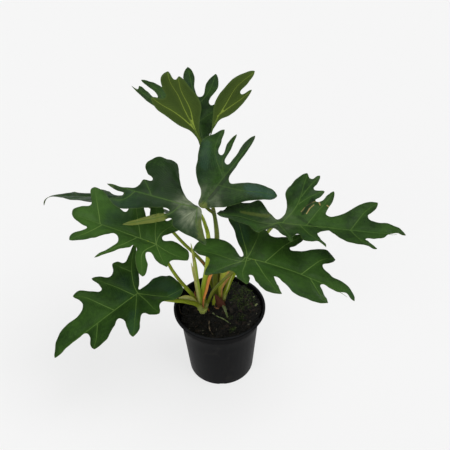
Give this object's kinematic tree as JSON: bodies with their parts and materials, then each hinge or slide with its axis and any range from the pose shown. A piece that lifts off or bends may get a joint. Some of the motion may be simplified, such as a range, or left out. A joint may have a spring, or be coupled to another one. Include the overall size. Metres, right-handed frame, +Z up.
{
  "type": "potted lacy tree philodendron",
  "caption": "Potted lacy tree philodendron: a tapered black nursery pot of dark potting mix, with long stalks that carry glossy, deeply lobed green leaves from low crowns.",
  "frame": {"origin": "centre of the pot's foot, on the surface that it stands on", "axes": "+Z up, -Y towards the viewer of the picture, +X to the viewer's right"},
  "size_m": [0.4637, 0.3092, 0.4422],
  "materials": {
    "pot_plastic": "black moulded plastic with a soft sheen",
    "potting_mix": "dark, damp, chunky bark mix",
    "crown": "pale green, ringed plant tissue",
    "blade": "glossy dark green leaf with pale veins",
    "petiole": "smooth yellow-green leaf stalk",
    "sheath_old": "pale, papery old sheath",
    "sheath_dried": "dry orange-brown sheath",
    "sheath_fresh": "satin yellow-green sheath",
    "root": "pale dry root",
    "twig": "green plant stub",
    "bark": "rough brown bark chip"
  },
  "bodies": {
    "root": {"pot": "pot_plastic", "soil": "potting_mix", "crown_front": "crown", "crown_back": "crown", "top_blade": "blade", "upper_blade": "blade", "left_upper_blade": "blade", "left_blade": "blade", "left_low_blade": "blade", "front_right_blade": "blade", "right_blade": "blade", "left_back_blade": "blade", "top_petiole": "petiole", "upper_petiole": "petiole", "left_upper_petiole": "petiole", "left_petiole": "petiole", "left_low_petiole": "petiole", "front_right_petiole": "petiole", "right_petiole": "petiole", "left_back_petiole": "petiole", "sheath_pale": "sheath_old", "sheath_dry": "sheath_dried", "sheath_broad": "sheath_fresh", "root_pale": "root", "twig_green": "twig", "stub_green": "twig", "bark_left": "bark", "bark_right": "bark"}
  },
  "joints": []
}
